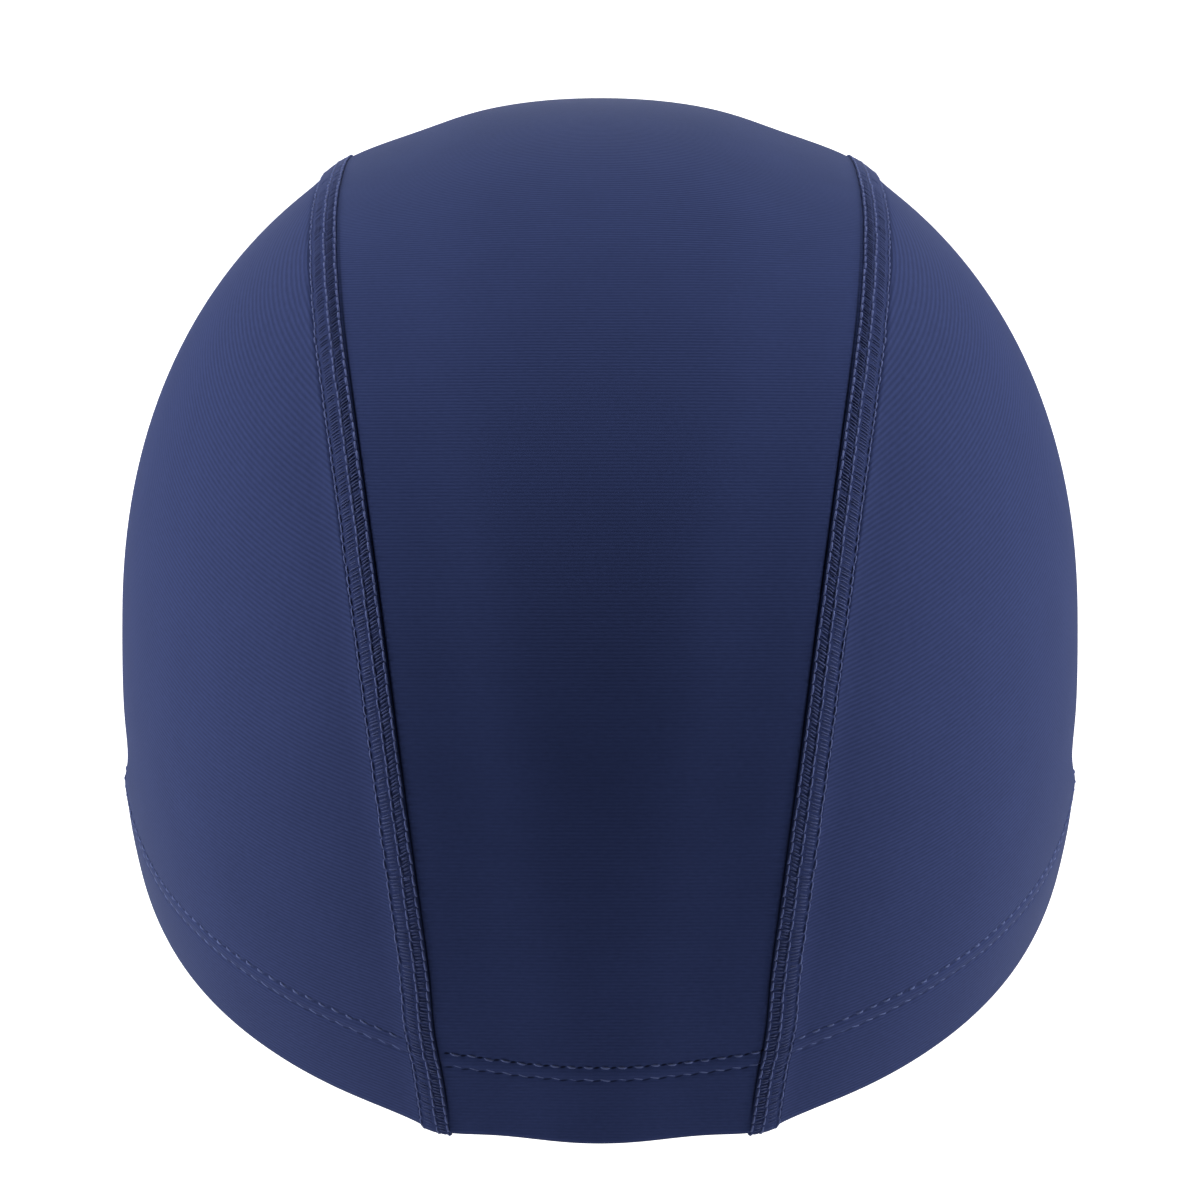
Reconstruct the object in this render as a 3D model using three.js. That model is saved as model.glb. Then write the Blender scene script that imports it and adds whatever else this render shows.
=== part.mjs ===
// Three-panel knitted swim cap, as worn on an upright head. Millimetres, +Z up, nape toward -Y.
// The origin is the crown point of the cap's inner face, where it rests on the head.
import * as THREE from "three";

// Cloth and seams
const CLOTH = 1.0; // thickness of the knit
const GAP = 0.3; // clearance between sewn pieces
const SEAM_WIDTH = 5.0; // flat overlocked band between two panels
const SEAM_PROUD = 0.4; // band above the panels beside it
const THREAD_RISE = 0.3; // three thread ridges above the band
const TENT = { rise: 0.7, inner: 5, outer: 2 }; // cloth lifted off the head along a seam
const VALLEY = { depth: 0.4, inward: 13.5, spread: 5 }; // centre panel drawn down inside each seam

// Head form: each row is how far the cap reaches at a drop below the crown
const SIDE = { reach: 77.6, widest: 85, power: 2.16, tuck: 19.5, tuckPower: 2.45 };
const BACK = { reach: 100, widest: 103, power: 1.95, tuck: 24, tuckPower: 1.8 };
const BROW = { reach: 95, widest: 95, power: 2.3, tuck: 4, tuckPower: 2.0 };
const EGG = 0.155; // widening of the plan toward the nape
const BLUNTNESS = 2.6; // power of the plan curve ahead of the widest place, where 2 is an ellipse
const AXLE_DROP = 86; // level of the cross axis that angles along the cap are measured about

// Bulge over each ear, with a slight crease above it
const EAR = { rise: 1.4, top: 107, step: 5, fadeFrom: 116, fade: 12, y: 2, length: 18 };
const EAR_CREASE = { depth: 0.5, drop: 106, spread: 3 };

// Hem: one sloping plane from the nape up to the brow, with a folded edge turned up inside
const HEM_NAPE_DROP = 168;
const HEM_TILT = THREE.MathUtils.degToRad(34);
const TURNUP_HEIGHT = 15.5;
const SEAM_SAG = 1.1; // hem pulled down where a seam crosses it
const SAG_SPREAD = 4.5;

// Cross-section of a seam band: place from edge to edge, and rise of the thread ridges
const SEAM_PROFILE = [
  { across: -1.0, rise: 0.2 },
  { across: -0.84, rise: 1 },
  { across: -0.45, rise: 0 },
  { across: 0, rise: 1 },
  { across: 0.45, rise: 0 },
  { across: 0.84, rise: 1 },
  { across: 1.0, rise: 0.2 },
];

// Half spacing of the two seams as a share of the side reach, by share of the way from brow to nape
const SEAM_SPACING = [
  { share: 0.0, half: 0.49 },
  { share: 0.18, half: 0.534 },
  { share: 0.36, half: 0.544 },
  { share: 0.51, half: 0.567 },
  { share: 0.6, half: 0.555 },
  { share: 0.68, half: 0.521 },
  { share: 0.8, half: 0.452 },
  { share: 0.94, half: 0.366 },
  { share: 1.0, half: 0.332 },
];
const SEAM_FIRST_ANGLE = THREE.MathUtils.degToRad(11);
const SEAM_LAST_ANGLE = THREE.MathUtils.degToRad(227.5);

// Facets
const ALONG = 36;
const ACROSS_CENTRE = 10;
const ACROSS_SIDE = 9;
const HEM_BANDS = 3;
const FOLD_TURNS = 4;

const FOLD_RADIUS = CLOTH + GAP / 2;
const FAR = 2 * (SIDE.reach + BACK.reach + HEM_NAPE_DROP);
const AXLE_Z = CLOTH - AXLE_DROP;

const bell = (t) => Math.exp(-0.5 * t * t);

function ramp(t) {
  const held = Math.min(1, Math.max(0, t));
  return held * held * (3 - 2 * held);
}

function reachAt(drop, form) {
  const up = Math.max(0, 1 - drop / form.widest);
  const down = Math.max(0, drop - form.widest) / (HEM_NAPE_DROP - form.widest);
  return form.reach * (1 - up ** form.power) ** (1 / form.power) - form.tuck * down ** form.tuckPower;
}

function earBulge(y, drop) {
  const height = ramp((drop - EAR.top) / EAR.step) * bell(Math.max(0, drop - EAR.fadeFrom) / EAR.fade);
  const crease = EAR_CREASE.depth * bell((drop - EAR_CREASE.drop) / EAR_CREASE.spread);
  return (EAR.rise * height - crease) * bell((y - EAR.y) / EAR.length);
}

// Above zero outside the head form, below zero within it
function beyond(p) {
  const drop = CLOTH - p.z;
  if (drop <= 0) return 1;
  const back = reachAt(drop, BACK);
  const brow = reachAt(drop, BROW);
  const along = (p.y - (brow - back) / 2) / ((brow + back) / 2);
  const egg = (1 - EGG * along) / ((1 + EGG * EGG) * Math.sqrt(1 - EGG * EGG));
  const side = (reachAt(drop, SIDE) + earBulge(p.y, drop)) * egg;
  return (p.x / side) ** 2 + Math.abs(along) ** (along > 0 ? BLUNTNESS : 2) - 1;
}

// Last value between inside and outside at which the test still holds
function lastWhere(test, inside, outside) {
  let near = inside;
  let far = outside;
  for (let i = 0; i < 32; i++) {
    const middle = (near + far) / 2;
    if (test(middle)) near = middle;
    else far = middle;
  }
  return near;
}

function skinAlong(path) {
  return path(lastWhere((s) => beyond(path(s)) < 0, 0, FAR));
}

function normalAt(p) {
  const step = 0.01;
  const slope = ["x", "y", "z"].map((axis) => {
    const above = p.clone();
    const below = p.clone();
    above[axis] += step;
    below[axis] -= step;
    return beyond(above) - beyond(below);
  });
  return new THREE.Vector3(...slope).normalize();
}

// Skin point beside the middle plane, by its x and its angle about the cross axis
function skinOnAxle(x, angle) {
  const [y, z] = [Math.cos(angle), Math.sin(angle)];
  return skinAlong((s) => new THREE.Vector3(x, y * s, AXLE_Z + z * s));
}

function seamHalf(angle) {
  const share = (angle - SEAM_FIRST_ANGLE) / (SEAM_LAST_ANGLE - SEAM_FIRST_ANGLE);
  const last = SEAM_SPACING.length - 1;
  let i = SEAM_SPACING.findIndex((row) => row.share > share) - 1;
  if (i === -2) i = last - 1;
  i = Math.max(0, i);
  const slopeAt = (k) => {
    const before = SEAM_SPACING[Math.max(0, k - 1)];
    const after = SEAM_SPACING[Math.min(last, k + 1)];
    return (after.half - before.half) / (after.share - before.share);
  };
  const [a, b] = [SEAM_SPACING[i], SEAM_SPACING[i + 1]];
  const width = b.share - a.share;
  const t = Math.min(1.3, Math.max(-0.3, (share - a.share) / width));
  const square = t * t;
  const cube = square * t;
  const half = (2 * cube - 3 * square + 1) * a.half + (cube - 2 * square + t) * width * slopeAt(i)
    + (3 * square - 2 * cube) * b.half + (cube - square) * width * slopeAt(i + 1);
  return SIDE.reach * half;
}

// Height above the hem plane, measured square to it
function hemLift(p) {
  const seam = seamHalf(p.y < 0 ? SEAM_LAST_ANGLE : SEAM_FIRST_ANGLE);
  const sag = SEAM_SAG * bell((Math.abs(p.x) - seam) / SAG_SPREAD);
  const level = CLOTH - HEM_NAPE_DROP + (p.y + reachAt(HEM_NAPE_DROP, BACK)) * Math.tan(HEM_TILT);
  return (p.z - level + sag) * Math.cos(HEM_TILT);
}

// Lift of the cloth off the head form, by its distance beyond the seam
function tent(p) {
  const angle = Math.atan2(p.z - AXLE_Z, p.y);
  const turned = angle < -Math.PI / 2 ? angle + 2 * Math.PI : angle;
  const away = Math.abs(p.x) - seamHalf(turned);
  const valley = VALLEY.depth * bell((away + VALLEY.inward) / VALLEY.spread);
  return TENT.rise * bell(away / (away > 0 ? TENT.outer : TENT.inner)) - valley;
}

// Skin point moved off the skin by a distance, with that lift added
function offset(p, distance) {
  return p.clone().addScaledVector(normalAt(p), distance + tent(p));
}

// Line over the head by its x at each angle: points between the two turn-ups, and beside each hem
function meridian(xAt) {
  const point = (angle) => skinOnAxle(xAt(angle), angle);
  const angleAt = (lift, end) => lastWhere((angle) => hemLift(point(angle)) > lift, Math.PI / 2, end);
  const [brow, nape] = [-Math.PI / 3, 1.45 * Math.PI];
  const [first, last] = [angleAt(TURNUP_HEIGHT, brow), angleAt(TURNUP_HEIGHT, nape)];
  return {
    over: (share) => point(first + (last - first) * share),
    brow: (lift) => point(angleAt(lift, brow)),
    nape: (lift) => point(angleAt(lift, nape)),
  };
}

// The same line at a distance beside a seam, outward from the middle plane
function besideSeam(distance) {
  return (angle) => {
    const half = seamHalf(angle);
    const n = normalAt(skinOnAxle(half, angle));
    return half + distance * Math.sqrt(1 - n.x * n.x);
  };
}

// Skin point by its bearing about the vertical and its height above the hem plane
function skinOverHem(bearing, lift) {
  const [x, y] = [Math.cos(bearing), Math.sin(bearing)];
  return skinAlong((s) => {
    const flat = new THREE.Vector3(x * s, y * s, 0);
    flat.z = (lift - hemLift(flat)) / Math.cos(HEM_TILT);
    return flat;
  });
}

// Closed mesh from faces given as lists of points, seen from outside against the clock
function bodyFrom(faces) {
  const places = [];
  const index = [];
  const seen = new Map();
  const vertex = (p) => {
    const key = [p.x, p.y, p.z].map((v) => Math.round(v * 2000)).join();
    if (!seen.has(key)) {
      seen.set(key, places.length / 3);
      places.push(p.x, p.y, p.z);
    }
    return seen.get(key);
  };
  for (const face of faces) {
    const corners = face.map(vertex);
    for (let i = 1; i < corners.length - 1; i++) {
      const [a, b, c] = [corners[0], corners[i], corners[i + 1]];
      if (a !== b && b !== c && c !== a) index.push(a, b, c);
    }
  }
  const geometry = new THREE.BufferGeometry();
  geometry.setAttribute("position", new THREE.Float32BufferAttribute(places, 3));
  geometry.setIndex(index);
  geometry.computeVertexNormals();
  return geometry;
}

// Cloth of one thickness between an outer and an inner grid of points
function clothFrom(outer, inner) {
  const faces = [];
  const rows = outer.length - 1;
  const columns = outer[0].length - 1;
  for (let i = 0; i < rows; i++) {
    for (let j = 0; j < columns; j++) {
      faces.push([outer[i][j], outer[i][j + 1], outer[i + 1][j + 1], outer[i + 1][j]]);
      faces.push([inner[i][j], inner[i + 1][j], inner[i + 1][j + 1], inner[i][j + 1]]);
    }
    faces.push([outer[i][0], outer[i + 1][0], inner[i + 1][0], inner[i][0]]);
    faces.push([outer[i + 1][columns], outer[i][columns], inner[i][columns], inner[i + 1][columns]]);
  }
  for (let j = 0; j < columns; j++) {
    faces.push([outer[0][j + 1], outer[0][j], inner[0][j], inner[0][j + 1]]);
    faces.push([outer[rows][j], outer[rows][j + 1], inner[rows][j + 1], inner[rows][j]]);
  }
  return bodyFrom(faces);
}

function mirrored(geometry) {
  const copy = geometry.clone().scale(-1, 1, 1);
  const order = Array.from(copy.getIndex().array);
  for (let i = 0; i < order.length; i += 3) [order[i], order[i + 1]] = [order[i + 1], order[i]];
  copy.setIndex(order);
  copy.computeVertexNormals();
  return copy;
}

const shares = (count) => Array.from({ length: count + 1 }, (unused, i) => i / count);

// Cross-section of the hem from the turned-up edge, round the fold, to the top of the turn-up outside
const HEM_ROWS = [
  ...shares(HEM_BANDS).map((v) => (
    { lift: TURNUP_HEIGHT + (FOLD_RADIUS - TURNUP_HEIGHT) * v, turn: Math.PI }
  )),
  ...shares(FOLD_TURNS).slice(1, -1).map((v) => ({ lift: FOLD_RADIUS, turn: Math.PI * (1 - v) })),
  ...shares(HEM_BANDS).map((v) => ({ lift: FOLD_RADIUS + (TURNUP_HEIGHT - FOLD_RADIUS) * v, turn: 0 })),
];

// Outer and inner faces of the cloth along the hem section, for points given by height over the hem
function hemFaces(atLift, rise) {
  const face = (radius) => HEM_ROWS.map((row) => {
    const depth = FOLD_RADIUS - radius * Math.cos(row.turn);
    return offset(atLift(row.lift - radius * Math.sin(row.turn)), -depth);
  });
  return [face(FOLD_RADIUS + rise), face(GAP / 2)];
}

// Outer and inner faces of one line of cloth from brow to nape, both ends turned up
function lineFaces(line, rise) {
  const [browOuter, browInner] = hemFaces(line.brow, rise);
  const [napeOuter, napeInner] = hemFaces(line.nape, rise);
  const between = shares(ALONG).slice(1, -1).map(line.over);
  return [
    [...browOuter, ...between.map((p) => offset(p, rise)), ...napeOuter.reverse()],
    [...browInner, ...between.map((p) => offset(p, -CLOTH)), ...napeInner.reverse()],
  ];
}

function centrePanel() {
  const edge = besideSeam(-(SEAM_WIDTH / 2 + GAP));
  const lines = shares(ACROSS_CENTRE).map((v) => (
    lineFaces(meridian((angle) => (2 * v - 1) * edge(angle)), 0)
  ));
  return clothFrom(lines.map((faces) => faces[0]), lines.map((faces) => faces[1]));
}

function rightSeam() {
  const lines = SEAM_PROFILE.map((row) => (
    lineFaces(meridian(besideSeam((row.across * SEAM_WIDTH) / 2)), SEAM_PROUD + THREAD_RISE * row.rise)
  ));
  return clothFrom(lines.map((faces) => faces[0]), lines.map((faces) => faces[1]));
}

function rightSidePanel() {
  const edge = meridian(besideSeam(SEAM_WIDTH / 2 + GAP));
  const middle = new THREE.Vector3(0, 0, AXLE_Z);
  const overHem = (share, lift) => {
    const [brow, nape] = [edge.brow(lift), edge.nape(lift)].map((p) => Math.atan2(p.y, p.x));
    return skinOverHem(brow + (nape - brow) * share, lift);
  };
  const lines = shares(ALONG).map((t) => {
    const top = edge.over(t).sub(middle);
    const foot = overHem(t, TURNUP_HEIGHT).sub(middle);
    const turn = top.angleTo(foot);
    const [hemOuter, hemInner] = hemFaces((lift) => overHem(t, lift), 0);
    const panel = shares(ACROSS_SIDE).slice(1).map((v) => {
      const [a, b] = turn < 1e-4 ? [v, 1 - v] : [Math.sin(v * turn), Math.sin((1 - v) * turn)];
      const way = top.clone().normalize().multiplyScalar(a)
        .addScaledVector(foot.clone().normalize(), b).normalize();
      return skinAlong((s) => middle.clone().addScaledVector(way, s));
    });
    return [
      [...hemOuter, ...panel.map((p) => offset(p, 0))],
      [...hemInner, ...panel.map((p) => offset(p, -CLOTH))],
    ];
  });
  return clothFrom(lines.map((faces) => faces[0]), lines.map((faces) => faces[1]));
}

function piece(name, geometry, colour, roughness) {
  const material = new THREE.MeshStandardMaterial({ color: colour, roughness, metalness: 0 });
  const mesh = new THREE.Mesh(geometry, material);
  mesh.name = name;
  return mesh;
}

const cap = new THREE.Group();
cap.name = "swim_cap";
const side = rightSidePanel();
const seam = rightSeam();
cap.add(
  piece("centre_panel", centrePanel(), 0x2a3460, 0.55),
  piece("side_panel_right", side, 0x363f68, 0.7),
  piece("side_panel_left", mirrored(side), 0x363f68, 0.7),
  piece("seam_right", seam, 0x2c3560, 0.65),
  piece("seam_left", mirrored(seam), 0x2c3560, 0.65),
);

export default cap;
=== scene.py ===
"""Navy stretch-knit swim cap in its worn shape, held up as a head holds it, seen level from the nape."""

import math
import bpy
import numpy as np
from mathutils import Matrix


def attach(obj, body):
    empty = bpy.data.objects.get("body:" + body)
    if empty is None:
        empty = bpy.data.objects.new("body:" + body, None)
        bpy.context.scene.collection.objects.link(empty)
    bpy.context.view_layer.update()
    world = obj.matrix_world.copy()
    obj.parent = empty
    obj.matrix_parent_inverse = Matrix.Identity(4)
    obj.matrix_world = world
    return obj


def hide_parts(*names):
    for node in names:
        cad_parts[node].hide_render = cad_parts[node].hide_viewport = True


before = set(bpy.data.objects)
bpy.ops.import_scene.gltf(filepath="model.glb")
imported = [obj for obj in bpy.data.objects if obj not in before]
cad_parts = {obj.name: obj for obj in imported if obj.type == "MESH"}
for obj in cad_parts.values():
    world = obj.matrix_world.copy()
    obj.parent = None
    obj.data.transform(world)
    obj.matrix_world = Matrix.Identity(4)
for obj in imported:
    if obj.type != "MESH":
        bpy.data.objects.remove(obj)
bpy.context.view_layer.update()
MM = 0.001
UV = 0.01  # UV maps hold millimetres at this scale

# Cloth and seams, millimetres
CLOTH = 1.0
GAP = 0.3
SEAM_WIDTH = 5.0
SEAM_RISE = 0.35
UNDER_BAND = 0.15
EDGE = SEAM_WIDTH / 2 - UNDER_BAND  # from a seam's middle to the edge of each panel
# The cloth stands up along a seam and dips a little way in from it
TENT = {"rise": 0.7, "inner": 5, "outer": 2}
VALLEY = {"depth": 0.4, "inward": 13.5, "spread": 5}
# Groove in the centre panel beside the seams, gone at the crown and the fold
GROOVE = {"depth": 0.3, "spread": 0.18}
GROOVE_FADE = {"below_crown": 12, "over": 45, "above_fold": 1.5, "over_fold": 6}

# Head form: how far the cap reaches at a drop below the crown
SIDE = {"reach": 77.6, "widest": 85, "power": 2.16, "tuck": 19.5, "tuck_power": 2.45}
BACK = {"reach": 100, "widest": 103, "power": 1.95, "tuck": 24, "tuck_power": 1.8}
BROW = {"reach": 95, "widest": 95, "power": 2.3, "tuck": 4, "tuck_power": 2.0}
EGG = 0.155  # how much wider the plan is toward the back
BLUNTNESS = 2.6  # power of the plan's curve toward the brow, which is 2 behind
AXLE_Z = CLOTH - 86  # height of the cross axis that angles over the head turn about
FAR = 260  # outside the head form in every direction
# Swelling over the ears, and the crease above it
EAR = {"rise": 1.4, "top": 107, "step": 5, "fade_from": 116, "fade": 12, "y": 2, "length": 18}
EAR_CREASE = {"depth": 0.5, "drop": 106, "spread": 3}

# Hem
HEM_DROP = 168
HEM_TILT = math.radians(34)
TURNUP = 18.0  # 2.5 mm taller than the plain solid's, to hold the rows where they climb
SEAM_SAG = 1.1  # how much lower the hem hangs at each seam
SAG_SPREAD = 4.5
FOLD = CLOTH + GAP / 2
ROW_UPPER = 14.0
ROW_LOWER = 11.8
HEM_STITCH = 2.6
ROWS_MIDDLE = (ROW_UPPER + ROW_LOWER) / 2
ROW_WAVE = 0.1
# How far the rows climb behind, by distance from the middle
CLIMB_X = np.array([0, 13, 17, 22, 26, 33, 43, 55, 64, 70, 78])
CLIMB = np.array([0.9, 0.75, 0.95, 1.6, 2.1, 1.95, 2.35, 2.4, 1.75, 0.95, 0.2])
CLIMB_FADE = 12
# Relief of the hem rows: depth of a row, of the needle holes in it, and their widths
NEEDLE_HOLE = 0.45
UPPER_GROOVE = {"depth": 0.01, "hole": 0.1, "spread": 0.3}
LOWER_GROOVE = {"depth": 0.08, "hole": 0.08, "spread": 0.3, "below": 0.25}
PUFF = {"height": 0.12, "spread": 0.7}

# Half spacing of the seams, from shares of the side reach, by share of the way from brow to nape
SEAM_SHARE = np.array([0.0, 0.18, 0.36, 0.51, 0.6, 0.68, 0.8, 0.94, 1.0])
SEAM_HALF = SIDE["reach"] * np.array([0.49, 0.534, 0.544, 0.567, 0.555, 0.521, 0.452, 0.366, 0.332])
SEAM_FIRST = math.radians(11)
SEAM_LAST = math.radians(227.5)
HEM_KINK = {"out": 0.5, "share": 0.955, "spread": 0.012}  # the seams bend out just above the nape's hem
# Angles about the axle that lie past the hem at the brow and at the nape
BROW_END = math.radians(-60)
NAPE_END = math.radians(261)
SEAM_STITCH = 1.75

random = np.random.default_rng(7)


def bell(t):
    return np.exp(-0.5 * t * t)


def ramp(t):
    t = np.clip(t, 0, 1)
    return t * t * (3 - 2 * t)


def reach(drop, form):
    up = np.clip(1 - drop / form["widest"], 0, 1)
    down = np.clip(drop - form["widest"], 0, None) / (HEM_DROP - form["widest"])
    power = form["power"]
    return form["reach"] * (1 - up**power) ** (1 / power) - form["tuck"] * down ** form["tuck_power"]


NAPE_REACH = float(reach(np.array(HEM_DROP), BACK))


def beyond(p):
    """Above zero outside the head form."""
    x, y, z = p[..., 0], p[..., 1], p[..., 2]
    drop = np.maximum(CLOTH - z, 1e-9)
    back, brow = reach(drop, BACK), reach(drop, BROW)
    along = (y - (brow - back) / 2) / ((brow + back) / 2)
    egg = (1 - EGG * along) / ((1 + EGG * EGG) * math.sqrt(1 - EGG * EGG))
    rise = EAR["rise"] * ramp((drop - EAR["top"]) / EAR["step"])
    rise = rise * bell(np.clip(drop - EAR["fade_from"], 0, None) / EAR["fade"])
    rise = rise - EAR_CREASE["depth"] * bell((drop - EAR_CREASE["drop"]) / EAR_CREASE["spread"])
    side = (reach(drop, SIDE) + rise * bell((y - EAR["y"]) / EAR["length"])) * egg
    plan = np.abs(along) ** np.where(along > 0, BLUNTNESS, 2.0)
    return np.where(z >= CLOTH, 1.0, (x / side) ** 2 + plan - 1)


def last_where(test, inside, outside, shape):
    """Last value between inside and outside at which the test still holds."""
    near, far = np.full(shape, float(inside)), np.full(shape, float(outside))
    for _ in range(30):
        middle = (near + far) / 2
        held = test(middle)
        near, far = np.where(held, middle, near), np.where(held, far, middle)
    return near


def point(x, y, z):
    return np.stack(np.broadcast_arrays(x, y, z), axis=-1)


def skin_along(way, shape):
    return way(last_where(lambda s: beyond(way(s)) < 0, 0, FAR, shape))


def skin_on_axle(x, angle):
    x, angle = np.broadcast_arrays(x, angle)
    return skin_along(lambda s: point(x, np.cos(angle) * s, AXLE_Z + np.sin(angle) * s), x.shape)


def normals(p):
    steps = np.eye(3) * 0.01
    slope = np.stack([beyond(p + k) - beyond(p - k) for k in steps], axis=-1)
    return slope / np.linalg.norm(slope, axis=-1, keepdims=True)


def seam_half(angle):
    share = (angle - SEAM_FIRST) / (SEAM_LAST - SEAM_FIRST)
    last = len(SEAM_SHARE) - 1
    i = np.clip(np.searchsorted(SEAM_SHARE, share, side="right") - 1, 0, last - 1)
    before, after = np.maximum(np.arange(last + 1) - 1, 0), np.minimum(np.arange(last + 1) + 1, last)
    slope = (SEAM_HALF[after] - SEAM_HALF[before]) / (SEAM_SHARE[after] - SEAM_SHARE[before])
    width = SEAM_SHARE[i + 1] - SEAM_SHARE[i]
    t = np.clip((share - SEAM_SHARE[i]) / width, -0.3, 1.3)
    kink = HEM_KINK["out"] * bell((share - HEM_KINK["share"]) / HEM_KINK["spread"])
    return ((2 * t**3 - 3 * t**2 + 1) * SEAM_HALF[i] + (t**3 - 2 * t**2 + t) * width * slope[i]
            + (3 * t**2 - 2 * t**3) * SEAM_HALF[i + 1] + (t**3 - t**2) * width * slope[i + 1] + kink)


TURNS = np.linspace(math.radians(-66), math.radians(264), 1400)
TURN_COS = np.sqrt(1 - normals(skin_on_axle(seam_half(TURNS), TURNS))[..., 0] ** 2)


def seam_cos(angle):
    """Share of a distance beside the seam that shows as x, at an angle about the axle."""
    return np.interp(angle, TURNS, TURN_COS)


def beside_seam(distance):
    return lambda angle: seam_half(angle) + distance * seam_cos(angle)


def hem_level(x, y):
    seam = seam_half(np.where(y < 0, SEAM_LAST, SEAM_FIRST))
    sag = SEAM_SAG * bell((np.abs(x) - seam) / SAG_SPREAD)
    return CLOTH - HEM_DROP + (y + NAPE_REACH) * math.tan(HEM_TILT) - sag


def hem_lift(p):
    """Height above the hem plane, square to it."""
    return (p[..., 2] - hem_level(p[..., 0], p[..., 1])) * math.cos(HEM_TILT)


def row_climb(p):
    return np.interp(np.abs(p[..., 0]), CLIMB_X, CLIMB) * ramp(-p[..., 1] / CLIMB_FADE)


def row_lift(p):
    """Height above the hem, less what the stitching climbs there."""
    return hem_lift(p) - row_climb(p)


def turned(p):
    angle = np.arctan2(p[..., 2] - AXLE_Z, p[..., 1])
    return np.where(angle < -math.pi / 2, angle + 2 * math.pi, angle)


def beyond_seam(p):
    return np.abs(p[..., 0]) - seam_half(turned(p))


def tent(p):
    away = beyond_seam(p)
    valley = VALLEY["depth"] * bell((away + VALLEY["inward"]) / VALLEY["spread"])
    return TENT["rise"] * bell(away / np.where(away > 0, TENT["outer"], TENT["inner"])) - valley


def offset(p, distance):
    return p + normals(p) * (distance + tent(p))[..., None]


def skin_over_hem(bearing, lift):
    bearing, lift = np.broadcast_arrays(bearing, lift)

    def way(s):
        x, y = np.cos(bearing) * s, np.sin(bearing) * s
        return point(x, y, hem_level(x, y) + lift / math.cos(HEM_TILT))

    return skin_along(way, bearing.shape)


# Hem section from the turned-up edge, round the fold, to the top of the turn-up outside
LEG = np.array([TURNUP, 17.5, 16.6, 15.6, 14.4, 12.9, 9, 5.5, 2.6])
CUFF = np.concatenate([[1.7, 3, 5, 7, 8.7, 9.9, 10.6], np.arange(11, 17.5, 0.22), [TURNUP]])
FOLD_ROWS = 9
HEM_LIFTS = np.concatenate([LEG, np.full(FOLD_ROWS, FOLD), CUFF])
HEM_TURNS = np.concatenate([
    np.full(len(LEG), math.pi),
    np.linspace(math.pi, 0, FOLD_ROWS),
    np.zeros(len(CUFF)),
])
INSIDE_ROWS = len(LEG) + FOLD_ROWS
LOWEST_ROW = len(LEG) + FOLD_ROWS // 2


def hem_rows(radius):
    """Height over the hem and depth in from the skin, for each row of the hem section."""
    return HEM_LIFTS - radius * np.sin(HEM_TURNS), FOLD - radius * np.cos(HEM_TURNS)


# Distance along the hem, by bearing
BEARINGS = np.linspace(0, 2 * math.pi, 3001)
LOOP = skin_over_hem(BEARINGS, ROWS_MIDDLE)
LOOP_S = np.concatenate([[0], np.cumsum(np.linalg.norm(np.diff(LOOP, axis=0), axis=-1))])
STITCHES = round(LOOP_S[-1] / HEM_STITCH)
PITCH = LOOP_S[-1] / STITCHES


def hem_place(p):
    bearing = np.arctan2(p[..., 1], p[..., 0]) % (2 * math.pi)
    return np.interp(bearing, BEARINGS, LOOP_S)


def upper_row(place):
    return np.full_like(place, ROW_UPPER)


def lower_row(place):
    """Height of the lower hem row, which waves a little within each stitch."""
    return ROW_LOWER + ROW_WAVE * np.sin(2 * math.pi * place / PITCH)


def hem_relief(p):
    """Grooves along the two hem rows, deeper at the needle holes, and the puff between them."""
    place, lift = hem_place(p), row_lift(p)
    hole = bell(((place / PITCH + 0.5) % 1 - 0.5) * PITCH / NEEDLE_HOLE)

    def groove(row, above):
        return -(row["depth"] + row["hole"] * hole) * bell(above / row["spread"])

    upper = groove(UPPER_GROOVE, lift - ROW_UPPER)
    puff = PUFF["height"] * bell((lift - ROWS_MIDDLE) / PUFF["spread"])
    lower = groove(LOWER_GROOVE, lift - lower_row(place) + LOWER_GROOVE["below"])
    return upper + puff + lower


def line_grid(x_at, columns, middle_rows, rise):
    """Outer and inner faces for lines over the head, rows from the brow's turn-up to the nape's."""
    shape = (len(HEM_LIFTS), columns)

    def angle_at(lifts, end, size):
        def over(angle):
            return hem_lift(skin_on_axle(x_at(angle), angle)) > lifts

        return last_where(over, math.pi / 2, end, size)

    def hem_end(end, radius):
        lifts, depths = hem_rows(radius)
        angle = angle_at(lifts[:, None], end, shape)
        return offset(skin_on_axle(x_at(angle), angle), -depths[:, None] * np.ones(shape))

    first = angle_at(TURNUP, BROW_END, (1, columns))
    last = angle_at(TURNUP, NAPE_END, (1, columns))
    angle = first + (last - first) * np.linspace(0, 1, middle_rows + 2)[1:-1, None]
    middle = skin_on_axle(x_at(angle), angle)
    level = np.ones(middle.shape[:2])

    def face(radius, distance):
        brow, nape = hem_end(BROW_END, radius), hem_end(NAPE_END, radius)[::-1]
        return np.concatenate([brow, offset(middle, distance * level), nape])

    outer = face(FOLD + rise, rise)
    outside = slice(INSIDE_ROWS, -INSIDE_ROWS)
    outer[outside] += normals(outer[outside]) * hem_relief(outer[outside])[..., None]
    return outer, face(GAP / 2, -CLOTH)


# Distance along the middle line over the head, by angle about the axle
MIDDLE = skin_on_axle(0 * TURNS, TURNS)
MIDDLE_S = np.concatenate([[0], np.cumsum(np.linalg.norm(np.diff(MIDDLE, axis=0), axis=-1))])
BEHIND = TURNS > math.pi / 2
LEVEL_RIBS = {"below_crown": 6, "over": 25}


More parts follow.
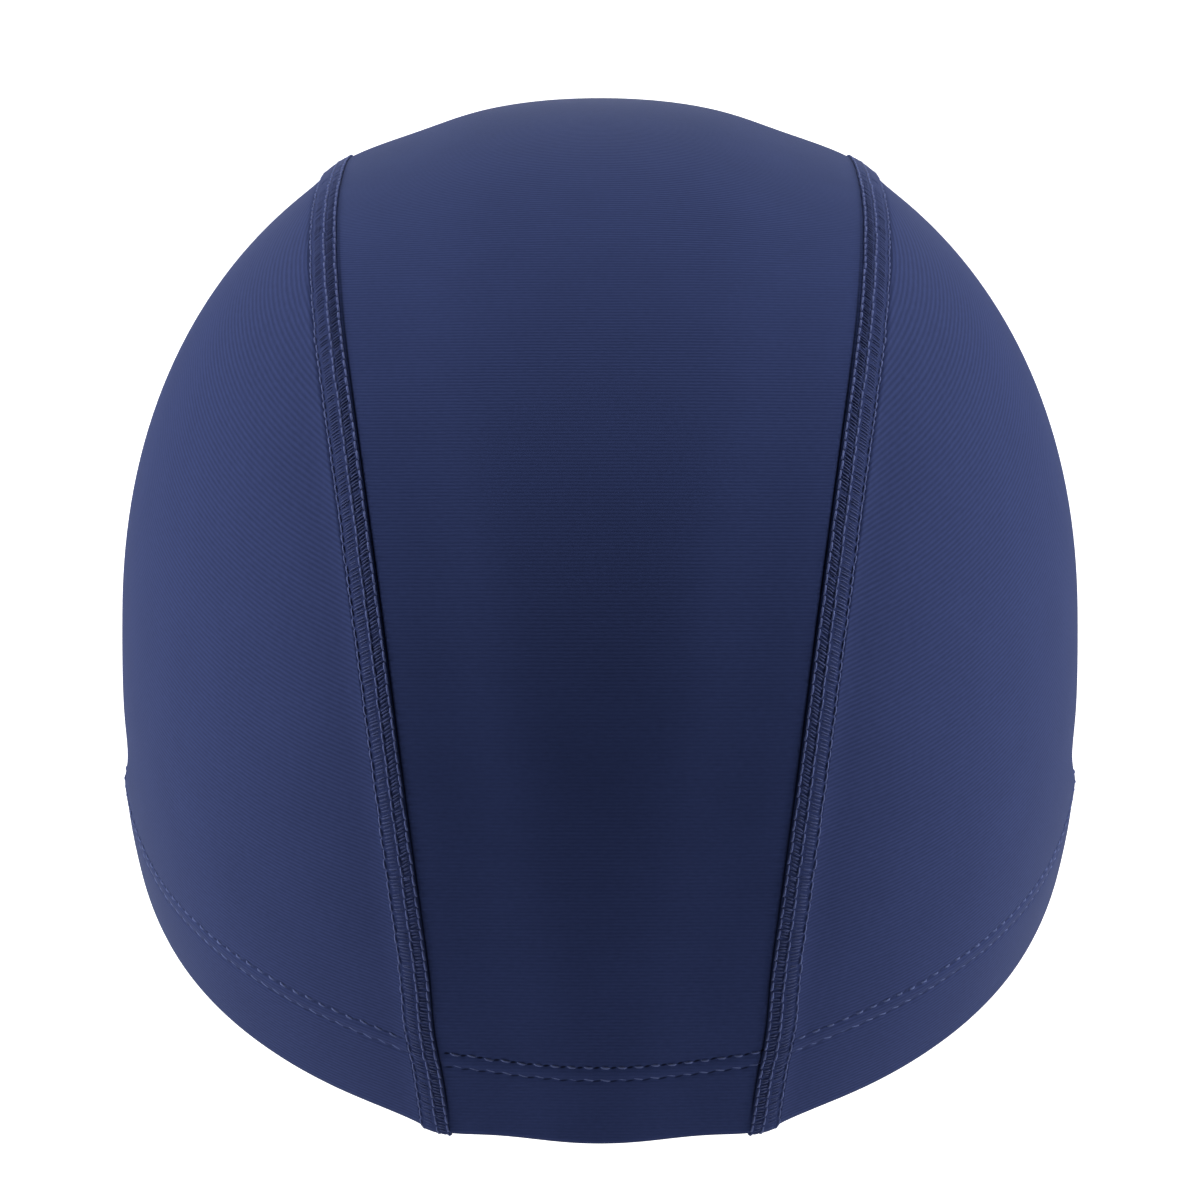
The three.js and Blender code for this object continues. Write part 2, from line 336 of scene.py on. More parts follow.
def rib_place(p):
    """Distance along the middle line of the rib through a point. Ribs lie level below the crown."""
    over = np.interp(turned(p), TURNS, MIDDLE_S)
    behind = np.interp(-p[..., 2], -MIDDLE[BEHIND, 2], MIDDLE_S[BEHIND])
    ahead = np.interp(p[..., 2], MIDDLE[~BEHIND, 2], MIDDLE_S[~BEHIND])
    level = ramp((CLOTH - p[..., 2] - LEVEL_RIBS["below_crown"]) / LEVEL_RIBS["over"])
    return over * (1 - level) + np.where(p[..., 1] < 0, behind, ahead) * level


def groove_share(p):
    """How much of the groove beside the seams shows: none at the crown and the fold."""
    crown = ramp((CLOTH - p[..., 2] - GROOVE_FADE["below_crown"]) / GROOVE_FADE["over"])
    return crown * ramp((hem_lift(p) - GROOVE_FADE["above_fold"]) / GROOVE_FADE["over_fold"])


def face_normals(grid):
    """Outward normals of a grid whose rows run from brow to nape and columns away from the middle."""
    n = np.cross(np.gradient(grid, axis=0), np.gradient(grid, axis=1))
    return n / np.maximum(np.linalg.norm(n, axis=-1, keepdims=True), 1e-12)


def mesh_object(name, verts, faces, uvs=()):
    """Mesh from vertices in millimetres; uvs is a list of (map name, one value pair for each vertex)."""
    mesh = bpy.data.meshes.new(name)
    mesh.from_pydata((verts * MM).tolist(), [], faces)
    mesh.validate()
    loops = np.empty(len(mesh.loops), dtype=np.int64)
    mesh.loops.foreach_get("vertex_index", loops)
    for label, values in uvs:
        layer = mesh.uv_layers.new(name=label)
        layer.data.foreach_set("uv", values[loops].astype(np.float32).ravel())
    mesh.polygons.foreach_set("use_smooth", np.ones(len(mesh.polygons), dtype=bool))
    obj = bpy.data.objects.new(name, mesh)
    bpy.context.scene.collection.objects.link(obj)
    return obj


def quads(first, second, third, fourth):
    return np.stack([first, second, third, fourth], axis=-1).reshape(-1, 4)


WELDS = 500  # places a millimetre that corners are brought to before they are joined


def cloth_object(name, outer, inner, knit, flip):
    """Closed cloth between two grids. knit gives each grid point its place on the knit, in millimetres."""
    rows, columns = outer.shape[:2]
    a = np.arange(rows * columns).reshape(rows, columns)
    b = a + rows * columns
    faces = np.concatenate([
        quads(a[:-1, :-1], a[:-1, 1:], a[1:, 1:], a[1:, :-1]),
        quads(b[:-1, :-1], b[1:, :-1], b[1:, 1:], b[:-1, 1:]),
        quads(a[:-1, 0], a[1:, 0], b[1:, 0], b[:-1, 0]),
        quads(a[1:, -1], a[:-1, -1], b[:-1, -1], b[1:, -1]),
        quads(a[0, 1:], a[0, :-1], b[0, :-1], b[0, 1:]),
        quads(a[-1, :-1], a[-1, 1:], b[-1, 1:], b[-1, :-1]),
    ])
    if flip:
        faces = faces[:, ::-1]
    verts = np.concatenate([outer.reshape(-1, 3), inner.reshape(-1, 3)])
    flat = np.concatenate([knit.reshape(-1, 2)] * 2)
    hem = np.stack([hem_place(verts), row_lift(verts)], axis=-1)
    edge = np.stack([beyond_seam(verts) + EDGE, groove_share(verts)], axis=-1)
    keys, place = np.unique(np.round(verts * WELDS).astype(np.int64), axis=0, return_inverse=True)
    place = place.ravel()
    welded = place[faces]
    keep = [[v for k, v in enumerate(face) if v != face[k - 1]] for face in welded.tolist()]
    first = np.zeros(len(keys), dtype=np.int64)
    first[place[::-1]] = np.arange(len(verts))[::-1]
    uvs = [("knit", flat[first] * UV), ("hem", hem[first] * UV), ("seam", edge[first] * UV)]
    return mesh_object(name, verts[first], [f for f in keep if len(f) > 2], uvs)


def spaced(count, ends):
    """Places from -1 to 1, closer together near both ends."""
    t = np.linspace(-1, 1, count)
    return (1 - ends) * t + ends * np.sin(t * math.pi / 2)


def centre_panel():
    columns, middle_rows = 131, 150
    v = spaced(columns, ends=0.6)
    edge = beside_seam(-EDGE)
    outer, inner = line_grid(lambda angle: v * edge(angle), columns, middle_rows, 0.0)
    dip = GROOVE["depth"] * bell((beyond_seam(outer) + EDGE) / GROOVE["spread"]) * groove_share(outer)
    outer = outer - face_normals(outer) * dip[..., None]
    knit = np.stack([outer[..., 0], rib_place(outer)], axis=-1)
    return cloth_object("centre_panel_cloth", outer, inner, knit, flip=False)


def side_grid(lines, lens_rows):
    """Outer and inner faces of the right side panel: lines from the hem up to the seam."""
    seam_x = beside_seam(EDGE)
    share = np.linspace(0, 1, lines)

    def edge_angle(lifts, end):
        def over(angle):
            return hem_lift(skin_on_axle(seam_x(angle), angle)) > lifts

        return last_where(over, math.pi / 2, end, lifts.shape)

    def edge_bearing(lifts, end):
        angle = edge_angle(lifts, end)
        p = skin_on_axle(seam_x(angle), angle)
        return np.arctan2(p[..., 1], p[..., 0])

    def hem_face(radius):
        lifts, depths = hem_rows(radius)
        first, last = edge_bearing(lifts, BROW_END), edge_bearing(lifts, NAPE_END)
        turn = first[None, :] + (last - first)[None, :] * share[:, None]
        skin = skin_over_hem(turn, lifts[None, :] + 0 * turn)
        return skin, offset(skin, -depths[None, :] + 0 * turn)

    top = np.array([TURNUP])
    first, last = edge_angle(top, BROW_END)[0], edge_angle(top, NAPE_END)[0]
    angle = first + (last - first) * share
    upper = skin_on_axle(seam_x(angle), angle)
    lower = hem_face(FOLD)[0][:, -1]
    middle = np.array([0, 0, AXLE_Z])
    a, b = upper - middle, lower - middle
    a = a / np.linalg.norm(a, axis=-1, keepdims=True)
    b = b / np.linalg.norm(b, axis=-1, keepdims=True)
    turn = np.arccos(np.clip((a * b).sum(-1), -1, 1))[:, None, None]
    s = np.linspace(0, 1, lens_rows + 1)[1:]
    closer_at_ends = 0.12
    s = (s - closer_at_ends * np.sin(2 * math.pi * s) / math.pi)[None, :, None]
    small = turn < 1e-4
    safe = np.where(small, 1.0, turn)
    toward_seam = np.where(small, s, np.sin(s * safe) / np.sin(safe))
    toward_hem = np.where(small, 1 - s, np.sin((1 - s) * safe) / np.sin(safe))
    way = a[:, None] * toward_seam + b[:, None] * toward_hem
    way = way / np.linalg.norm(way, axis=-1, keepdims=True)
    panel = skin_along(lambda r: middle + way * r[..., None], way.shape[:2])
    level = np.ones(panel.shape[:2])
    outer = np.concatenate([hem_face(FOLD)[1], offset(panel, 0 * level)], axis=1)
    inner = np.concatenate([hem_face(GAP / 2)[1], offset(panel, -CLOTH * level)], axis=1)
    outside = (slice(None), slice(INSIDE_ROWS, None))
    outer[outside] += normals(outer[outside]) * hem_relief(outer[outside])[..., None]
    return outer, inner


def side_panels():
    outer, inner = side_grid(lines=380, lens_rows=56)
    lift = hem_lift(outer)
    lift[:, :LOWEST_ROW] = 2 * FOLD - lift[:, :LOWEST_ROW]
    knit = np.stack([hem_place(outer), lift], axis=-1)
    made = {}
    for name, sign in (("right", 1), ("left", -1)):
        scale = np.array([sign, 1, 1])
        made[name] = cloth_object(
            f"side_panel_{name}_cloth", outer * scale, inner * scale, knit, flip=sign < 0)
    return made


class Strip:
    """A seam band, read on its outer or inner face by distance along it and across it."""

    def __init__(self, across, profile):
        middle_rows = 460
        outer, inner = line_grid(beside_seam(across), len(across), middle_rows, SEAM_RISE)
        self.across = across
        self.outer = outer + face_normals(outer) * profile[None, :, None]
        self.inner = inner
        middle = self.outer[:, len(across) // 2]
        self.s = np.concatenate([[0], np.cumsum(np.linalg.norm(np.diff(middle, axis=0), axis=-1))])
        self.length = self.s[-1]
        self.folds = self.s[[LOWEST_ROW, -1 - LOWEST_ROW]]
        self.crown = self.s[np.argmax(middle[:, 2])]
        self.faces = {"outer": (outer, face_normals(outer)), "inner": (inner, -face_normals(inner))}

    def at(self, s, a, height, side="outer"):
        """Point and normal at a distance along and across, at a height off the face."""
        grid, normal = self.faces[side]
        i = np.clip(np.searchsorted(self.s, s) - 1, 0, len(self.s) - 2)
        j = np.clip(np.searchsorted(self.across, a) - 1, 0, len(self.across) - 2)
        u = ((s - self.s[i]) / (self.s[i + 1] - self.s[i]))[..., None]
        w = ((a - self.across[j]) / (self.across[j + 1] - self.across[j]))[..., None]

        def mix(g):
            before = g[i, j] * (1 - w) + g[i, j + 1] * w
            after = g[i + 1, j] * (1 - w) + g[i + 1, j + 1] * w
            return before * (1 - u) + after * u

        n = mix(normal)
        n = n / np.linalg.norm(n, axis=-1, keepdims=True)
        return mix(grid) + n * height[..., None], n


THREAD_ENDS = 0.45  # thickness of a thread at its ends, as a share of the rest


def tubes(paths, lifts, radius, around=5, flatten=0.8):
    """Closed threads along many paths (count, points, 3); lifts are the faces' normals there."""
    count, points = paths.shape[:2]
    along = np.gradient(paths, axis=1)
    along = along / np.linalg.norm(along, axis=-1, keepdims=True)
    across = np.cross(along, lifts)
    across = across / np.linalg.norm(across, axis=-1, keepdims=True)
    up = np.cross(across, along)
    taper = np.ones(points)
    taper[[0, -1]] = THREAD_ENDS
    radius = (np.broadcast_to(radius, (count,))[:, None] * taper)[..., None, None]
    turn = np.linspace(0, 2 * math.pi, around, endpoint=False)
    ring = across[:, :, None] * np.cos(turn)[:, None] + up[:, :, None] * np.sin(turn)[:, None] * flatten
    verts = (paths[:, :, None] + ring * radius).reshape(-1, 3)
    index = np.arange(count * points * around).reshape(count, points, around)
    after = np.roll(index, -1, axis=2)
    walls = quads(index[:, :-1], after[:, :-1], after[:, 1:], index[:, 1:])
    ends = [index[:, 0, ::-1].reshape(-1, around), index[:, -1].reshape(-1, around)]
    return verts, walls.tolist() + ends[0].tolist() + ends[1].tolist()


def joined(parts):
    verts, faces, base = [], [], 0
    for part_verts, part_faces in parts:
        verts.append(part_verts)
        faces += [[v + base for v in face] for face in part_faces]
        base += len(part_verts)
    return np.concatenate(verts), faces


# Rows of thread along a seam: place across, start within the stitch, thread radius
SEAM_ROWS = ((-2.42, 0.0, 0.18), (-0.55, 0.35, 0.19), (2.08, 0.1, 0.16))
# Rungs between the rows: from, to, how many to a stitch, thread radius, height
SEAM_RUNGS = ((-2.32, -0.65, 3, 0.16, -0.02), (-0.45, 2.0, 3, 0.14, -0.05))
RUNG_SLANT = {"most": 0.95, "from_hem": 28, "over": 50}
BEDDING = {"fold": 0.12, "fold_spread": 2.5, "crown": 0.2, "crown_spread": 18}
# How much one thread differs from the next; a radius by a share of itself
ROW_WOBBLE = {"across": 0.05, "height": 0.02, "radius": 0.08}
RUNG_WOBBLE = {"along": 0.13, "slant": 0.1, "height": 0.03, "radius": 0.12}
HEM_WOBBLE = {"lift": 0.06, "height": 0.02, "zigzag": 0.05}


def bedded(band, s):
    """How deep threads bed into the cloth, at the crown and where the band turns round the hem."""
    brow, nape = [bell((s - fold) / BEDDING["fold_spread"]) for fold in band.folds]
    crown = bell((s - band.crown) / BEDDING["crown_spread"])
    return BEDDING["fold"] * (brow + nape) + BEDDING["crown"] * crown


def seam_rows(band, side="outer", margin=0.05):
    """Dashes of the three rows. margin keeps clear of the ends."""
    count = int((band.length - 2 * margin) / SEAM_STITCH)
    pitch = (band.length - 2 * margin) / count
    k = np.arange(count)[:, None]
    parts = []
    for place, shift, radius in SEAM_ROWS:
        s = np.array([0.02, 0.18, 0.5, 0.82, 0.98])
        h = np.array([-0.15, 0.04, 0.13, 0.04, -0.15])
        along = np.clip(margin + (k + s + shift) * pitch, margin, band.length - margin)
        across = place + ROW_WOBBLE["across"] * random.standard_normal((count, 1))
        across = across + np.array([0.08, 0.03, 0, -0.03, -0.08])
        h = h + ROW_WOBBLE["height"] * random.standard_normal((count, 1)) - bedded(band, along)
        paths, lifts = band.at(along, across, h, side)
        radii = radius * (1 + ROW_WOBBLE["radius"] * random.standard_normal(count))
        parts.append(tubes(paths, lifts, radii))
    return joined(parts)


def seam_rungs(band, side="outer", margin=0.05, skip=1):
    """Threads that cross between the rows."""
    count = int((band.length - 2 * margin) / SEAM_STITCH)
    pitch = (band.length - 2 * margin) / count
    parts = []
    for low, high, each, radius, height in SEAM_RUNGS:
        rungs = np.arange(0, count * each, skip)
        shift = RUNG_WOBBLE["along"] * random.standard_normal(len(rungs))
        s = margin + (rungs + 0.5 + shift) * pitch / each
        slant = RUNG_SLANT["most"] * ramp((band.length - s - RUNG_SLANT["from_hem"]) / RUNG_SLANT["over"])
        slant = (slant * ramp((s - RUNG_SLANT["from_hem"]) / RUNG_SLANT["over"]))[:, None]
        slant = slant + RUNG_WOBBLE["slant"] * random.standard_normal((len(rungs), 1))
        along = np.clip(s[:, None] + slant * np.array([-0.5, -0.2, 0.2, 0.5]), margin, band.length - margin)
        across = np.broadcast_to(np.linspace(low, high, 4), along.shape)
        h = height + np.array([-0.1, 0.03, 0.03, -0.1])
        h = h + RUNG_WOBBLE["height"] * random.standard_normal((len(rungs), 1))
        paths, lifts = band.at(along, across, h - bedded(band, along), side)
        radii = radius * (1 + RUNG_WOBBLE["radius"] * random.standard_normal(len(rungs)))
        parts.append(tubes(paths, lifts, radii, around=4))
    return joined(parts)


def seam_band():
    """The band, its face lower at the edges and between the rows of thread."""
    across = np.array([-2.5, -2.42, -2.25, -2.05, -1.8, -1.2, -0.6, -0.25, 0,
                       0.25, 0.6, 1.2, 1.8, 2.05, 2.2, 2.35, 2.5])
    places = [-2.5, -2.42, -2.25, -1.9, -0.9, -0.55, -0.1, 1.7, 2.05, 2.25, 2.5]
    rises = [-0.36, -0.12, -0.02, -0.07, -0.07, 0.0, -0.06, -0.05, 0.02, -0.1, -0.33]
    return Strip(across, np.interp(across, places, rises))


def seam_pieces():
    band = seam_band()
    shape = band.outer.shape[:2]
    knit = np.stack([np.broadcast_to(band.across, shape), np.broadcast_to(band.s[:, None], shape)], axis=-1)
    inside = TURNUP * 2 + 4  # past the turned-up edge, which covers the inner face below
    threads = {
        "rows": joined([seam_rows(band), seam_rows(band, "inner", inside)]),
        "rungs": joined([seam_rungs(band), seam_rungs(band, "inner", inside, skip=2)]),
    }
    made = {}
    for name, sign in (("right", 1), ("left", -1)):
        scale = np.array([sign, 1, 1])
        made[name] = {"band": cloth_object(
            f"seam_{name}_band", band.outer * scale, band.inner * scale, knit, flip=sign < 0)}
        for kind, (verts, faces) in threads.items():
            turned_faces = faces if sign > 0 else [face[::-1] for face in faces]
            made[name][kind] = mesh_object(f"seam_{name}_{kind}", verts * scale, turned_faces)
    return made


DASH_CLEARANCE = 2.3  # from a seam's middle to the nearest dash
BAND_SPREAD = 2.4  # how far beside a seam's middle the looper thread goes round its band


def clear_of_bands(skin):
    return (np.abs(beyond_seam(skin)).min(axis=1) / seam_cos(turned(skin)).mean(axis=1)) > DASH_CLEARANCE


def hem_dashes(row, rise, radius, ends):
    """One dash of thread a stitch along a hem row; ends are its first and last share of the stitch."""
    k = np.arange(STITCHES)
    place = (k[:, None] + np.linspace(*ends, 5)) * PITCH
    bearing = np.interp(place, LOOP_S, BEARINGS)
    lift = row(place) + HEM_WOBBLE["lift"] * random.standard_normal((STITCHES, 1))
    lift = lift + np.linspace(0.08, -0.08, 5)
    skin = skin_over_hem(bearing, lift + row_climb(skin_over_hem(bearing, lift)))
    keep = clear_of_bands(skin)
    h = rise + np.array([-0.2, 0.02, 0.08, 0.02, -0.2])
    h = h + HEM_WOBBLE["height"] * random.standard_normal((STITCHES, 1))
    return tubes(offset(skin, h)[keep], normals(skin)[keep], radius)


def hem_zigzag():
    """Looper thread that crosses between the two rows on the turned-up edge inside."""
    k = np.arange(STITCHES)
    share = np.linspace(0, 1, 9)
    past_rows, under_edge = 0.2, 0.1
    place = (k[:, None] + share) * PITCH
    bearing = np.interp(place, LOOP_S, BEARINGS)
    swing = 0.5 - 0.5 * np.cos(2 * math.pi * share)
    lift = ROW_LOWER - past_rows + (ROW_UPPER - ROW_LOWER + 2 * past_rows) * swing
    lift = lift + HEM_WOBBLE["zigzag"] * random.standard_normal((STITCHES, 1))
    skin = skin_over_hem(bearing, lift + row_climb(skin_over_hem(bearing, lift)))
    depth = 2 * FOLD + under_edge + SEAM_RISE * bell(beyond_seam(skin) / BAND_SPREAD)
    return tubes(offset(skin, -depth), -normals(skin), 0.17)


def hem_threads():
    upper = hem_dashes(upper_row, rise=0.05, radius=0.18, ends=(0.2, 0.82))
    lower = hem_dashes(lower_row, rise=-0.14, radius=0.16, ends=(0.04, 0.96))
    verts, faces = joined([upper, lower, hem_zigzag()])
    return mesh_object("hem_threads", verts, faces)


centre = centre_panel()
sides = side_panels()
seams = seam_pieces()
hem = hem_threads()


# Materials
class Graph:
    """Short calls for building a material's nodes."""

    def __init__(self, name):
        self.material = bpy.data.materials.new(name)
        self.material.use_nodes = True
        self.nodes, self.links = self.material.node_tree.nodes, self.material.node_tree.links
        self.shader = self.nodes["Principled BSDF"]

    def put(self, socket, value):
        if isinstance(value, (int, float)):
            socket.default_value = value
        else:
            self.links.new(value, socket)

    def math(self, kind, *values, clamp=False):
        node = self.nodes.new("ShaderNodeMath")
        node.operation = kind
        node.use_clamp = clamp
        for socket, value in zip(node.inputs, values):
            self.put(socket, value)
        return node.outputs[0]

    def uv(self, label):
        """The two coordinates of a UV map, in millimetres."""
        node = self.nodes.new("ShaderNodeUVMap")
        node.uv_map = label
        split = self.nodes.new("ShaderNodeSeparateXYZ")
        self.links.new(node.outputs[0], split.inputs[0])
        return [self.math("MULTIPLY", split.outputs[i], 1 / UV) for i in (0, 1)]

    def noise(self, x, y, detail):
        both = self.nodes.new("ShaderNodeCombineXYZ")
        self.put(both.inputs[0], x)
        self.put(both.inputs[1], y)
        node = self.nodes.new("ShaderNodeTexNoise")
        node.inputs["Scale"].default_value = 1.0
        node.inputs["Detail"].default_value = detail
        self.links.new(both.outputs[0], node.inputs["Vector"])
        return self.math("SUBTRACT", node.outputs[0], 0.5)

    def patch(self, across, along, width, height):
        """One at the middle of an oval, falling to nothing just past its rim."""
        a = self.math("DIVIDE", across, width)
        b = self.math("DIVIDE", along, height)
        square = self.math("ADD", self.math("MULTIPLY", a, a), self.math("MULTIPLY", b, b))
        return self.math("SUBTRACT", 1.3, square, clamp=True)

    def tone(self, colour, factor):
        """Base colour times a factor that varies over the surface."""
        node = self.nodes.new("ShaderNodeVectorMath")
        node.operation = "SCALE"
        node.inputs[0].default_value = colour
        self.put(node.inputs["Scale"], factor)
        self.links.new(node.outputs[0], self.shader.inputs["Base Color"])

    def bump(self, height, distance, strength):
        node = self.nodes.new("ShaderNodeBump")
        node.inputs["Strength"].default_value = strength
        node.inputs["Distance"].default_value = distance
        self.links.new(height, node.inputs["Height"])
        self.links.new(node.outputs[0], self.shader.inputs["Normal"])

    def finish(self, roughness, specular, sheen):
        inputs = self.shader.inputs
        inputs["Roughness"].default_value = roughness
        inputs["Specular IOR Level"].default_value = specular
        inputs["Sheen Weight"].default_value = sheen
        inputs["Sheen Roughness"].default_value = 0.4
        inputs["Sheen Tint"].default_value = (0.9, 0.95, 1.0, 1)
        return self.material


def darkened(graph, factor, mask, most):
    """Factor times one minus a share of the mask."""
    return graph.math("MULTIPLY", factor, graph.math("SUBTRACT", 1.0, graph.math("MULTIPLY", mask, most)))


# Painted shade in the needle holes: half width and half height, how far the lower ones sit below their row,
# and their slant
UPPER_HOLE_SHADE = (0.5, 0.2)
LOWER_HOLE_SHADE = (0.75, 0.18)
HOLE_BELOW = 0.3
HOLE_SLANT = 0.18


def painted_hole_shade(graph, factor, most):
    """Painted shade in the needle holes between the dashes of both hem rows."""
    place, lift = graph.uv("hem")
    share = graph.math("FRACT", graph.math("ADD", graph.math("DIVIDE", place, PITCH), 0.5))
    beside = graph.math("MULTIPLY", graph.math("SUBTRACT", share, 0.5), PITCH)
    slant = graph.math("MULTIPLY", beside, HOLE_SLANT)
    upper = graph.math("SUBTRACT", graph.math("SUBTRACT", lift, ROW_UPPER), slant)
    lower = graph.math("SUBTRACT", graph.math("SUBTRACT", lift, ROW_LOWER - HOLE_BELOW), slant)
    factor = darkened(graph, factor, graph.patch(beside, upper, *UPPER_HOLE_SHADE), most)
    return darkened(graph, factor, graph.patch(beside, lower, *LOWER_HOLE_SHADE), most * 0.75)


# Unevenness of the knit: steps a millimetre across and along, detail, and how strong it is
WANDER = {"across": 0.16, "along": 0.7, "detail": 1.0, "strength": 2.4}
PATCHES = {"across": 0.09, "along": 0.09, "detail": 3.0, "strength": 0.14}
STREAKS = {"across": 0.9, "along": 2.6, "detail": 2.0, "strength": 0.3}
GRAIN = {"across": 2.0, "along": 3.0, "detail": 1.0, "strength": 0.3}
# Painted shadow in the groove beside the seams, where the band stands over it: half width and darkness
GROOVE_SHADOW = {"half_width": 0.24, "dark": 0.9}


def uneven(graph, across, along, kind):
    scaled = [graph.math("MULTIPLY", across, kind["across"]), graph.math("MULTIPLY", along, kind["along"])]
    return graph.noise(*scaled, kind["detail"])


def knit(name, colour, rib, contrast, holes, groove):
    """Fine ribs across the knit's second coordinate, painted shade in the needle holes, and a painted
    shadow in the groove beside the seams.
    """
    graph = Graph(name)
    across, along = graph.uv("knit")
    turns = graph.math("MULTIPLY", along, 2 * math.pi / rib)
    wander = graph.math("MULTIPLY", uneven(graph, across, along, WANDER), WANDER["strength"])
    ribs = graph.math("SINE", graph.math("ADD", turns, wander))
    patches = uneven(graph, across, along, PATCHES)
    streaks = uneven(graph, across, along, STREAKS)
    factor = graph.math("ADD", graph.math("MULTIPLY", ribs, contrast), 1.0)
    factor = graph.math("ADD", factor, graph.math("MULTIPLY", patches, PATCHES["strength"]))
    factor = graph.math("ADD", factor, graph.math("MULTIPLY", streaks, STREAKS["strength"]))
    # Painted shade in the needle holes of the hem rows
    factor = painted_hole_shade(graph, factor, holes)
    # Painted shadow where the seam band stands over the groove beside it
    if groove:
        inward, share = graph.uv("seam")
        away = graph.math("DIVIDE", graph.math("ABSOLUTE", inward), GROOVE_SHADOW["half_width"])
        near = graph.math("SUBTRACT", 1.0, away, clamp=True)
        factor = darkened(graph, factor, graph.math("MULTIPLY", near, share), GROOVE_SHADOW["dark"])
    graph.tone(colour, factor)
    graph.bump(graph.math("ADD", ribs, streaks), distance=0.00006, strength=0.22)
    return graph.finish(roughness=0.9, specular=0.05, sheen=0.08)


def band_cloth(name, colour):
    """Cloth between the rungs, in shade under the inner ones."""
    graph = Graph(name)
    across, along = graph.uv("knit")
    grain = uneven(graph, across, along, GRAIN)
    inner = graph.patch(graph.math("ADD", across, 1.05), 0.0, 1.0, 1.0)
    factor = graph.math("ADD", graph.math("MULTIPLY", grain, GRAIN["strength"]), 1.0)
    graph.tone(colour, darkened(graph, factor, inner, 0.1))
    return graph.finish(roughness=0.9, specular=0.05, sheen=0.08)


def thread(name, colour):
    graph = Graph(name)
    place = graph.nodes.new("ShaderNodeTexCoord")
    noise = graph.nodes.new("ShaderNodeTexNoise")
    noise.inputs["Scale"].default_value = 900
    graph.links.new(place.outputs["Object"], noise.inputs["Vector"])
    graph.tone(colour, graph.math("ADD", graph.math("MULTIPLY", noise.outputs[0], 0.5), 0.75))
    graph.bump(noise.outputs[0], distance=0.00004, strength=0.4)
    return graph.finish(roughness=0.7, specular=0.12, sheen=0.1)


# Both panels are one navy knit; the centre knit's colour is painted darker than the side knit's, standing
# in for the knit's sheen, which changes with the way its courses run. holes sets the painted shade in the
# needle holes, groove the painted shadow beside the seams.
CENTRE_KNIT = knit("centre knit", (0.026, 0.039, 0.118), 0.59, 0.042, holes=0.8, groove=True)
SIDE_KNIT = knit("side knit", (0.0315, 0.0445, 0.128), 0.58, 0.14, holes=0.3, groove=False)
BAND_CLOTH = band_cloth("seam cloth", (0.028, 0.04, 0.118))
# One navy thread, a lighter blue than the knit, in three colours: the raised dashes of the seam rows and of
# the hem rows are painted lighter for the light they catch, the rungs painted darker for the shade they lie
# in
LIT_THREAD = thread("thread", (0.075, 0.098, 0.235))
SHADED_RUNG_THREAD = thread("shaded rung thread", (0.044, 0.06, 0.16))
LIT_HEM_THREAD = thread("lit hem thread", (0.09, 0.118, 0.27))

centre.data.materials.append(CENTRE_KNIT)
hem.data.materials.append(LIT_HEM_THREAD)
for name in ("left", "right"):
    sides[name].data.materials.append(SIDE_KNIT)
    seams[name]["band"].data.materials.append(BAND_CLOTH)
    seams[name]["rows"].data.materials.append(LIT_THREAD)
    seams[name]["rungs"].data.materials.append(SHADED_RUNG_THREAD)

# Rig
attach(centre, "root")
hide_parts("centre_panel")
for name in ("left", "right"):
    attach(sides[name], "root")
    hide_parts(f"side_panel_{name}")
    for piece in seams[name].values():
        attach(piece, "root")
    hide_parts(f"seam_{name}")
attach(hem, "root")


# Stage: floor well below the cap, as a standing wearer has it, and a bright backdrop
FLOOR_Z = -1.26
FLOOR_END = 2.6  # where the backdrop's curve starts
CURVE_RADIUS = 1.2
BACKDROP_HEIGHT = 5.0


def stage_sheet(name, half_width, y, z, glow):
    grid = point(np.array([-half_width, half_width])[None, :], y[:, None], z[:, None])
    index = np.arange(len(y) * 2).reshape(-1, 2)
    faces = quads(index[:-1, 0], index[:-1, 1], index[1:, 1], index[1:, 0]).tolist()
    sheet = mesh_object(name, grid.reshape(-1, 3) / MM, faces)
    paint = Graph(f"{name} paint")
    paint.shader.inputs["Base Color"].default_value = (0.8, 0.8, 0.8, 1)
    paint.shader.inputs["Emission Color"].default_value = (1, 1, 1, 1)
    paint.shader.inputs["Emission Strength"].default_value = glow
    sheet.data.materials.append(paint.finish(roughness=0.9, specular=0.2, sheen=0.0))


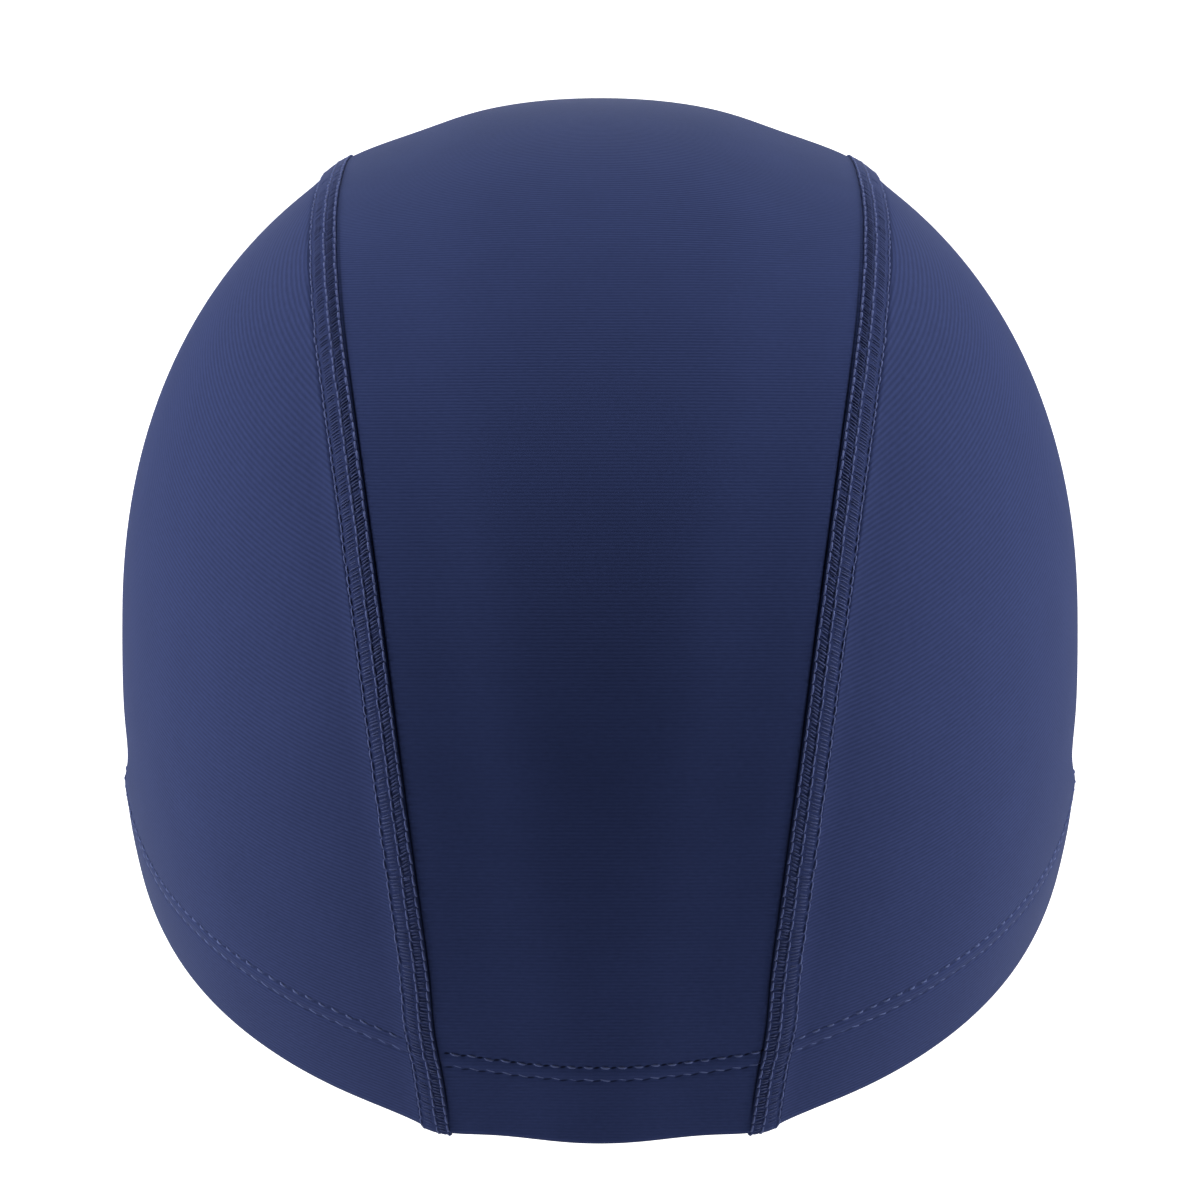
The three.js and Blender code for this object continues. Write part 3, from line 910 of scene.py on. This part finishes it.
CURVE = np.linspace(0, math.pi / 2, 14)
stage_sheet("floor", 4.0, np.array([-4.0, FLOOR_END]), np.array([FLOOR_Z, FLOOR_Z]), glow=0.0)
stage_sheet("backdrop", 1.4, FLOOR_END + np.append(CURVE_RADIUS * np.sin(CURVE), CURVE_RADIUS),
            FLOOR_Z + np.append(CURVE_RADIUS * (1 - np.cos(CURVE)), BACKDROP_HEIGHT), glow=1.0)


# Lights and camera
LIGHT_TARGET = (0, 0, -0.08)


def area(name, azimuth, elevation, distance, size, power):
    """Square softbox, by its angles and distance from the cap; azimuth 0 is behind the camera."""
    data = bpy.data.lights.new(name, "AREA")
    data.shape = "SQUARE"
    data.size = size
    data.energy = power
    obj = bpy.data.objects.new(name, data)
    bpy.context.scene.collection.objects.link(obj)
    azimuth, elevation = math.radians(azimuth), math.radians(elevation)
    obj.location = (LIGHT_TARGET[0] + math.sin(azimuth) * math.cos(elevation) * distance,
                    LIGHT_TARGET[1] - math.cos(azimuth) * math.cos(elevation) * distance,
                    LIGHT_TARGET[2] + math.sin(elevation) * distance)
    obj.rotation_euler = (math.pi / 2 - elevation, 0, azimuth)


for side, azimuth in (("left", -1), ("right", 1)):
    area(f"{side} softbox", azimuth * 90, 5, 2.0, 1.0, 24)
    area(f"{side} front softbox", azimuth * 75, 15, 2.0, 0.8, 9)
    area(f"{side} high softbox", azimuth * 90, 50, 2.0, 1.0, 27)
area("low fill", 0, -50, 1.2, 0.4, 0.7)
world = bpy.data.worlds.new("studio")
world.use_nodes = True
world.node_tree.nodes["Background"].inputs[0].default_value = (1, 1, 1, 1)
world.node_tree.nodes["Background"].inputs[1].default_value = 0.03
bpy.context.scene.world = world
bpy.context.scene.view_settings.view_transform = "Standard"
bpy.context.scene.view_settings.look = "None"

camera_data = bpy.data.cameras.new("camera")
camera_data.lens = 292.1
camera_data.sensor_width = 36
camera_data.clip_end = 50
camera = bpy.data.objects.new("camera", camera_data)
bpy.context.scene.collection.objects.link(camera)
camera.location = (0, -1.6, -0.0814)
camera.rotation_euler = (math.pi / 2, 0, 0)
bpy.context.scene.camera = camera
